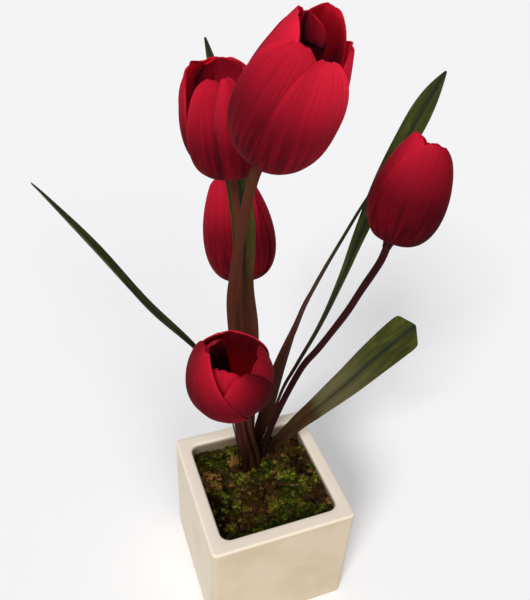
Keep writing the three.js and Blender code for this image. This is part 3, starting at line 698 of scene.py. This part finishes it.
def petal_point(bloom, petal, number, u, v, ruffle):
    """A petal's middle surface, u from -1 to 1 across and v from 0 to 1 along."""
    turn, width, share, flare, lift, cup, blunt, twist = petal
    radius, height = bloom["radius"], bloom["height"]
    # The tip's edge is a little uneven.
    ragged = noise.noise(Vector((u * 2.6, number * 7.3, bloom["base"][0])))
    w = v - 0.01 * abs(u) ** 3 * v ** 2 + 0.009 * ragged * v ** 8
    # The head's profile: a Bezier curve from the neck out to its belly and in to its mouth.
    stops = ((1.6, -1.0), (1.24 * radius, -0.03 * height), (1.22 * radius, 0.58 * height),
             (bloom["mouth"] * radius + flare, height * share))
    weights = ((1 - w) ** 3, 3 * w * (1 - w) ** 2, 3 * w ** 2 * (1 - w), w ** 3)
    ring = sum(k * p[0] for k, p in zip(weights, stops)) + lift * min(1.0, v / PETAL_CLEAR)
    rise = sum(k * p[1] for k, p in zip(weights, stops))
    girth = petal_girth(v, blunt) * width
    bend = max(ring * cup, PETAL_TIGHTEST * radius)
    angle = u * girth / 2 / bend
    # The pressed middle line, the ruffled rim, soft folds and edges that curl in.
    crease = -0.25 * math.exp(-(u / 0.16) ** 2) * math.sin(math.pi * min(1.0, v * 1.1))
    wave = ruffle * v ** 5 * math.sin(5.3 * u + 2.1 * number) * (0.4 + abs(u))
    fold = 0.15 * math.sin(12 * u + number) * math.sin(math.pi * v) ** 2
    edge = 0.35 * abs(u) ** 6 * math.sin(math.pi * v)
    out = crease + wave + fold - edge
    x = ring - bend + (bend + out) * math.cos(angle)
    y = (bend + out) * math.sin(angle)
    spin = math.radians(turn + twist * (v - 0.3))
    return Vector((x * math.cos(spin) - y * math.sin(spin),
                   x * math.sin(spin) + y * math.cos(spin), rise))


def make_bloom(name, sizes):
    """One bloom: petals in two layers and the short neck that they are gathered on."""
    bloom = BLOOMS[name]
    thick, maroon = next(stem[1:3] for stem in STEMS.values() if stem[0] == name)
    place = bloom_frame(bloom)
    bm = bmesh.new()
    strand = bm.verts.layers.float_vector.new("strand")
    rim = bm.verts.layers.float.new("rim")
    painted_layers = ((bm.verts.layers.float.new("tone_and_shade"), dict(enumerate(PETAL_TONES_AND_SHADES[name]))),
              (bm.verts.layers.float.new("hollow_light_shade"), PETAL_HOLLOW_LIGHT_SHADE[name]))
    for number, petal in enumerate(bloom["petals"]):
        half, blunt = petal[1] / 2, petal[6]
        grid = bmesh.ops.create_grid(bm, x_segments=PETAL_COLUMNS, y_segments=PETAL_ROWS,
                                     size=1.0)["verts"]
        for vert in grid:
            u, v = vert.co.x, (vert.co.y + 1) / 2
            vert[strand] = (u * half, v, number * 9.7 + bloom["base"][0])
            # The pale rim is partly a painted highlight; the tone and hollow values are partly
            # painted shade and light.
            inward = min((1 - abs(u)) * petal_girth(v, blunt) * half,
                         (1 - v) * bloom["height"])
            vert[rim] = math.exp(-inward / PETAL_RIM) * smoothstep(v, 0.5, 1.0)
            for layer, pairs in painted_layers:
                left, right = pairs.get(number, (0.0, 0.0))
                vert[layer] = left + (right - left) * (u + 1) / 2
            vert.co = place @ petal_point(bloom, petal, number, u, v, sizes.ruffle / MM) * MM
    piece = make_piece(name.replace("bloom", "petals"), bm, "silk_petal", name,
                       sizes.petal)
    piece.data.materials.append(material("silk_petal_inside"))
    piece.modifiers["thickness"].material_offset = 1

    turns = [math.tau * k / NECK_SIDES for k in range(NECK_SIDES)]
    rings = []
    for reach, radius in NECK_PROFILE:
        radius *= thick / NECK_FITS
        rings.append([place @ Vector((radius * math.cos(a), radius * math.sin(a), reach)) * MM
                      for a in turns])
    neck = bmesh.new()
    mark = neck.verts.layers.float_vector.new("strand")
    loft(neck, rings)
    for vert in neck.verts:
        local = place.inverted() @ (vert.co / MM)
        vert[mark] = (math.atan2(local.y, local.x) * thick, vert.co.z / MM, maroon)
    make_piece(name.replace("bloom", "neck"), neck, "wrapped_stem", name)


def make_stem(name):
    """One stem: a wavering tube from deep in the foam to the bloom's neck."""
    bloom, thick, maroon, path = STEMS[name]
    place = bloom_frame(BLOOMS[bloom])
    x, y, _ = path[0]
    points = [(x, y, BURIED_TO), *path, *(place @ Vector((0, 0, -below))
                                          for below in (STEM_STRAIGHT, STEM_END))]
    line, total = smooth_line(points, STEM_RINGS)
    ways = tangents(line)
    ways[-1] = (place.to_3x3() @ Vector((0, 0, 1))).normalized()
    turns = [math.tau * k / STEM_SIDES for k in range(STEM_SIDES)]
    rings = []
    side = ways[0].orthogonal().normalized()
    for spot, way in zip(line, ways):
        side = (side - way * side.dot(way)).normalized()
        other = way.cross(side)
        radius = thick * (1 + 0.06 * noise.noise(spot * 0.06))
        rings.append([(spot + radius * (side * math.cos(a) + other * math.sin(a))) * MM
                      for a in turns])
    bm = bmesh.new()
    strand = bm.verts.layers.float_vector.new("strand")
    loft(bm, rings)
    for vert in bm.verts:
        near = min(range(len(line)), key=lambda k: (line[k] * MM - vert.co).length_squared)
        out = vert.co / MM - line[near]
        vert[strand] = (math.atan2(out.y, out.x) * thick, near * total / STEM_RINGS, maroon)
    make_piece(name, bm, "wrapped_stem", name)


def make_leaf(name, number, sizes):
    """One strap leaf: a stalk that opens into a folded blade with a groove down it."""
    path, width, widest, narrow, fold, lower, upper, tip, base, peak, foot_end = LEAVES[name]
    x, y, _ = path[0]
    line, total = smooth_line([(x, y, BURIED_TO), *path], LEAF_ROWS)
    ways = tangents(line)
    lower, upper = Vector(lower), Vector(upper)
    bm = bmesh.new()
    strand = bm.verts.layers.float_vector.new("strand")
    foot = bm.verts.layers.float.new("foot")
    pale = bm.verts.layers.float.new("pale")
    grid = bmesh.ops.create_grid(bm, x_segments=10, y_segments=LEAF_ROWS, size=1.0)["verts"]
    for vert in grid:
        u, v = vert.co.x, (vert.co.y + 1) / 2
        row = round(v * LEAF_ROWS)
        spot, way = line[row], ways[row]
        along = min(1.0, max(0.0, (v - LEAF_STALK) / (1 - LEAF_STALK)))
        grow = math.sin(math.pi / 2 * min(1.0, along / widest)) ** narrow
        fall = max(0.0, (along - widest) / (1 - widest)) ** 2.2
        stalk = STALK_HALF + (base - STALK_HALF) * smoothstep(v * total, *STALK_WIDENS)
        half = stalk + (width / 2 - stalk) * grow - (width / 2 - tip) * fall
        across = way.cross(lower.lerp(upper, v)).normalized()
        up = across.cross(way).normalized()
        opened = smoothstep(v, LEAF_STALK, LEAF_OPEN)
        bent = math.radians(fold) * opened
        groove = -0.45 * math.exp(-(u * half / 1.2) ** 2) * opened
        wave = 0.5 * math.sin(17 * v + number) * u ** 2 * opened
        reach = u * half
        raised = abs(reach) * math.sin(bent) + groove + wave
        short = peak * abs(u) * smoothstep(v, 0.8, 1.0)
        flat = reach * math.cos(bent)
        vert.co = (spot + across * flat + up * raised - way * short) * MM
        vert[strand] = (reach, v * total / 10, number * 5.3)
        vert[foot] = 1 - smoothstep(v, foot_end - 0.15, foot_end + 0.2)
        if peak:
            # The blunt leaf is tan halfway up, but for its midrib, over a fainter brown foot.
            vert[foot] = 0.65 * (1 - smoothstep(v, foot_end, foot_end + 0.08))
            halfway = smoothstep(v, 0.5, 0.56) - smoothstep(v, 0.6, 0.9)
            vert[pale] = 0.65 * halfway * (0.3 + 0.7 * smoothstep(abs(u), 0.0, 0.3))
    make_piece(name, bm, "silk_leaf", name, sizes.leaf)


def square_ring(half, corner, z):
    """The points of a square with round corners, in metres."""
    steps = [math.pi / 2 * k / 6 for k in range(7)]
    middle = half - corner
    ring = []
    for turn in (math.pi / 2 * quarter for quarter in range(4)):
        for a in steps:
            x, y = middle + corner * math.cos(a), middle + corner * math.sin(a)
            ring.append(Vector((x * math.cos(turn) - y * math.sin(turn),
                                x * math.sin(turn) + y * math.cos(turn), z)) * MM)
    return ring


def make_pot(sizes):
    """The pot: one profile from its underside over the rim and down to its floor."""
    half, top, wall = sizes.pot_width / MM / 2, sizes.pot_height / MM, sizes.pot_wall / MM
    inner, crest = half - wall, top - POT_EDGE
    # The quarter round that every edge is made of.
    arc = [(POT_EDGE * math.sin(a), POT_EDGE * math.cos(a))
           for a in (math.pi / 2 * k / 5 for k in range(6))]
    outside = [(half - 14, 0.0), (half - POT_EDGE - 2, 0.0)]
    outside += [(half - POT_EDGE + s, POT_EDGE - c) for s, c in arc]
    outside += [(half, top * k / 6) for k in range(1, 6)]
    outside += [(half - POT_EDGE + c, crest + s) for s, c in arc]
    inside = [(inner + POT_EDGE - s, crest + c) for s, c in arc]
    inside += [(inner, top - 8), (inner, POT_FLOOR + 6), (inner, POT_FLOOR),
               (inner - 12, POT_FLOOR)]
    rings = [square_ring(reach, max(1.0, corner + reach - wide), z)
             for stations, wide, corner in ((outside, half, POT_CORNER),
                                            (inside, inner, CAVITY_CORNER))
             for reach, z in stations]
    bm = loft(bmesh.new(), rings)
    # Hand-finished walls are not quite flat, but the underside is.
    for vert in bm.verts:
        if vert.co.z > 0.5 * MM:
            bulge = noise.noise(vert.co * 28) * 0.25 * MM
            flat = Vector((vert.co.x, vert.co.y, 0)).normalized()
            vert.co -= flat * abs(bulge)
    make_piece("pot_body", bm, "bisque", "pot", levels=0)


def moss_cleft(x, y):
    """How far a point is from the clefts between cushions: 0 in their middle."""
    return abs(noise.noise(Vector((x * 0.1, y * 0.1, 2.7))))


def moss_height(x, y):
    """The height of the moss bed at a point, in millimetres: cushions with dark clefts."""
    broad = noise.noise(Vector((x * 0.045, y * 0.045, 3.1)))
    cushions = noise.fractal(Vector((x * 0.13, y * 0.13, 8.4)), 0.8, 2.0, 3)
    cleft = 1 - smoothstep(moss_cleft(x, y), 0.0, 0.16)
    bank = MOSS_BANK * smoothstep(x, MOSS_BANK_FROM, 40.5)
    return MOSS_TOP - 2.0 + 1.4 * broad + 2.2 * cushions - 3.2 * cleft + bank


def moss_clump(rng, sprig):
    """A mesh of pointed three-sided sprigs that lean out of one spot."""
    clump = bmesh.new()
    for _ in range(SPRIGS_IN_CLUMP):
        lean, turn = rng.uniform(5, 62), rng.uniform(0, 360)
        tall = rng.uniform(0.5, 1.0) * sprig
        leaning = (Matrix.Rotation(math.radians(turn), 4, "Z")
                   @ Matrix.Rotation(math.radians(lean), 4, "Y"))
        slide = Matrix.Translation((rng.uniform(-1.1, 1.1) * MM,
                                    rng.uniform(-1.1, 1.1) * MM, -0.5 * MM))
        bmesh.ops.create_cone(
            clump, cap_ends=True, segments=3, radius1=SPRIG_FOOT * MM, radius2=0.0,
            depth=tall, matrix=slide @ leaning @ Matrix.Translation((0, 0, tall / 2)))
    mesh = bpy.data.meshes.new("clump")
    clump.to_mesh(mesh)
    clump.free()
    mesh.attributes.new("tint", "FLOAT_COLOR", "POINT")
    return mesh


def moss_tone(rng, kinds, x, y, cleft):
    """The colour of the clump at a point: broad patches and tufts, then the listed spots, a few
    strays, random darkening, and painted shade in the clefts."""
    patch = noise.noise(Vector((x * 0.07, y * 0.07, 5.5)))
    tuft = noise.noise(Vector((x * 0.22, y * 0.22, 1.2)))
    tone_and_shade = kinds["green"].lerp(kinds["dry"], smoothstep(patch + 0.4 * tuft, -0.15, 0.2))
    tone_and_shade = tone_and_shade.lerp(kinds["light"], 0.85 * smoothstep(tuft - 0.3 * patch, 0.15, 0.45))
    for kind, (px, py), reach in MOSS_SPOTS:
        near = 1 - smoothstep(math.hypot(x - px, y - py) / reach + 0.5 * tuft, 0.6, 1.1)
        tone_and_shade = tone_and_shade.lerp(kinds[kind], 0.9 * near)
    if rng.random() < 0.22:
        tone_and_shade = tone_and_shade.lerp(kinds[rng.choice(("straw", "light", "green"))], 0.55)
    # Random darkening, and painted shade deeper in the clefts.
    return tone_and_shade.lerp(kinds["deep"], min(1.0, rng.uniform(0.0, 0.48) + 0.6 * cleft))


def make_moss_bed(half):
    """The dark felted bed, with its corners drawn in to the cavity's and a skirt down to
    the foam."""
    corner = CAVITY_CORNER - MOSS_GAP
    inward = half - corner
    bed = bmesh.new()
    for vert in bmesh.ops.create_grid(bed, x_segments=90, y_segments=90, size=1.0)["verts"]:
        x, y = vert.co.x * half, vert.co.y * half
        past = Vector((max(0.0, abs(x) - inward), max(0.0, abs(y) - inward)))
        if past.length > corner:
            short = past * (corner / past.length)
            x = math.copysign(inward + short.x, x) if past.x else x
            y = math.copysign(inward + short.y, y) if past.y else y
        vert.co = Vector((x, y, moss_height(x, y))) * MM
    rim = [e for e in bed.edges if e.is_boundary]
    wall = bmesh.ops.extrude_edge_only(bed, edges=rim)["geom"]
    for vert in (g for g in wall if isinstance(g, bmesh.types.BMVert)):
        vert.co.z = (FOAM_TOP + 0.4) * MM
    bmesh.ops.recalc_face_normals(bed, faces=bed.faces)
    make_piece("moss_bed", bed, "moss_bed", "moss_mat", levels=0)


def make_moss_sprigs(half, sprig, colours):
    """The sprigs: copies of a few clumps on a loose grid, each in one colour."""
    rng = random.Random(4)
    clumps = [moss_clump(rng, sprig) for _ in range(CLUMP_KINDS)]
    kinds = {"green": Vector(colours.moss), "light": Vector(colours.moss_light),
             "dry": Vector(colours.moss_dry), "straw": Vector(colours.moss_straw),
             "deep": Vector(colours.moss_deep)}
    sprigs = bmesh.new()
    across = int(2 * half / CLUMP_STEP)
    low, span = CLUMP_MARGIN - half, 2 * (half - CLUMP_MARGIN)
    for i, j in ((i, j) for i in range(across + 1) for j in range(across + 1)):
        x = low + span * i / across + rng.uniform(-CLUMP_STRAY, CLUMP_STRAY)
        y = low + span * j / across + rng.uniform(-CLUMP_STRAY, CLUMP_STRAY)
        cleft = 1 - smoothstep(moss_cleft(x, y), 0.02, 0.14)
        tone_and_shade = moss_tone(rng, kinds, x, y, cleft)
        size = rng.uniform(0.65, 1.3) * (1 - 0.35 * cleft)
        turn = (Matrix.Translation(Vector((x, y, moss_height(x, y))) * MM)
                @ Matrix.Rotation(rng.uniform(0, math.tau), 4, "Z")
                @ Matrix.Scale(size, 4))
        copy = rng.choice(clumps).copy()
        copy.transform(turn)
        copy.attributes["tint"].data.foreach_set("color", list(tone_and_shade) * len(copy.vertices))
        sprigs.from_mesh(copy)
        bpy.data.meshes.remove(copy)
    for mesh in clumps:
        bpy.data.meshes.remove(mesh)
    make_piece("moss_sprigs", sprigs, "moss_sprigs", "moss_mat", levels=0)


class TULIP_OT_pot(bpy.types.Operator):
    """Makes the ceramic pot and finishes the foam block inside it"""

    bl_idname = "tulip.pot"
    bl_label = "Pot"

    def execute(self, context):
        make_pot(context.scene.tulip_sizes)
        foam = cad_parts["foam_block"]
        foam.material_slots[0].material = material("floral_foam")
        return {"FINISHED"}


class TULIP_OT_moss(bpy.types.Operator):
    """Makes the moss bed and its sprigs"""

    bl_idname = "tulip.moss"
    bl_label = "Moss"

    def execute(self, context):
        sizes = context.scene.tulip_sizes
        half = (sizes.pot_width / 2 - sizes.pot_wall) / MM - MOSS_GAP
        make_moss_bed(half)
        make_moss_sprigs(half, sizes.sprig, context.scene.tulip_colours)
        return {"FINISHED"}


class TULIP_OT_stems(bpy.types.Operator):
    """Makes the flower stems"""

    bl_idname = "tulip.stems"
    bl_label = "Stems"

    def execute(self, context):
        for name in STEMS:
            make_stem(name)
        return {"FINISHED"}


class TULIP_OT_blooms(bpy.types.Operator):
    """Makes the tulip heads"""

    bl_idname = "tulip.blooms"
    bl_label = "Blooms"

    def execute(self, context):
        for name in BLOOMS:
            make_bloom(name, context.scene.tulip_sizes)
        return {"FINISHED"}


class TULIP_OT_leaves(bpy.types.Operator):
    """Makes the strap leaves"""

    bl_idname = "tulip.leaves"
    bl_label = "Leaves"

    def execute(self, context):
        for number, name in enumerate(LEAVES):
            make_leaf(name, number, context.scene.tulip_sizes)
        return {"FINISHED"}


class TULIP_OT_stage(bpy.types.Operator):
    """Makes the floor, the lights and the camera"""

    bl_idname = "tulip.stage"
    bl_label = "Stage"

    def execute(self, context):
        scene = context.scene
        scene.view_settings.view_transform = "Standard"
        bm = bmesh.new()
        bmesh.ops.create_grid(bm, x_segments=1, y_segments=1, size=3.0)
        mesh = bpy.data.meshes.new("floor")
        bm.to_mesh(mesh)
        bm.free()
        mesh.materials.append(material("white_paper"))
        floor = bpy.data.objects.new("floor", mesh)
        scene.collection.objects.link(floor)

        world = bpy.data.worlds.new("studio")
        world.use_nodes = True
        sky = world.node_tree.nodes["Background"]
        sky.inputs["Color"].default_value = linear("#FBFBFF")
        sky.inputs["Strength"].default_value = 0.37
        scene.world = world
        for name, place, spread, strength in (
            ("key", (-0.6, -0.62, 0.7), 20, 2.0),
            ("fill", (0.0, -0.8, 0.5), 30, 0.9),
        ):
            lamp = bpy.data.lights.new(name, "SUN")
            lamp.angle = math.radians(spread)
            lamp.energy = strength
            holder = bpy.data.objects.new(name, lamp)
            holder.location = place
            holder.rotation_euler = Vector(place).to_track_quat("Z", "Y").to_euler()
            scene.collection.objects.link(holder)

        lens = bpy.data.cameras.new("camera")
        lens.sensor_fit = "VERTICAL"
        lens.sensor_height = SENSOR_HEIGHT
        lens.lens = CAMERA_FOCAL * SENSOR_HEIGHT
        lens.clip_start = 0.01
        azimuth, elevation, roll = (math.radians(a) for a in (
            CAMERA_AZIMUTH, CAMERA_ELEVATION, CAMERA_ROLL))
        back = Vector((math.sin(azimuth) * math.cos(elevation),
                       -math.cos(azimuth) * math.cos(elevation), math.sin(elevation)))
        level = Vector((0, 0, 1)).cross(back).normalized()
        above = back.cross(level)
        right = math.cos(roll) * level + math.sin(roll) * above
        up = -math.sin(roll) * level + math.cos(roll) * above
        turned = Matrix((right, up, back)).transposed().to_4x4()
        eye = bpy.data.objects.new("camera", lens)
        eye.matrix_world = Matrix.Translation(Vector(CAMERA_PLACE) * MM) @ turned
        scene.collection.objects.link(eye)
        scene.camera = eye
        return {"FINISHED"}


class TULIP_PT_panel(bpy.types.Panel):
    """Lists the plant's sizes, colours and makers"""

    bl_idname = "TULIP_PT_panel"
    bl_label = "Potted tulip"
    bl_space_type = "VIEW_3D"
    bl_region_type = "UI"
    bl_category = "Tulip"

    def draw(self, context):
        layout = self.layout
        for group in (context.scene.tulip_sizes, context.scene.tulip_colours):
            column = layout.column(align=True)
            for name in group.__annotations__:
                column.prop(group, name)
        for maker in MAKERS:
            layout.operator(maker.bl_idname)


MAKERS = (TULIP_OT_pot, TULIP_OT_moss, TULIP_OT_stems, TULIP_OT_blooms, TULIP_OT_leaves,
          TULIP_OT_stage)
CLASSES = (TulipSizes, TulipColours, *MAKERS, TULIP_PT_panel)


def register():
    for item in CLASSES:
        bpy.utils.register_class(item)
    bpy.types.Scene.tulip_sizes = bpy.props.PointerProperty(type=TulipSizes)
    bpy.types.Scene.tulip_colours = bpy.props.PointerProperty(type=TulipColours)


def unregister():
    del bpy.types.Scene.tulip_colours
    del bpy.types.Scene.tulip_sizes
    for item in reversed(CLASSES):
        bpy.utils.unregister_class(item)


def main():
    register()
    bpy.ops.tulip.pot()
    bpy.ops.tulip.moss()
    bpy.ops.tulip.stems()
    bpy.ops.tulip.blooms()
    bpy.ops.tulip.leaves()
    bpy.ops.tulip.stage()


if __name__ == "__main__":
    main()
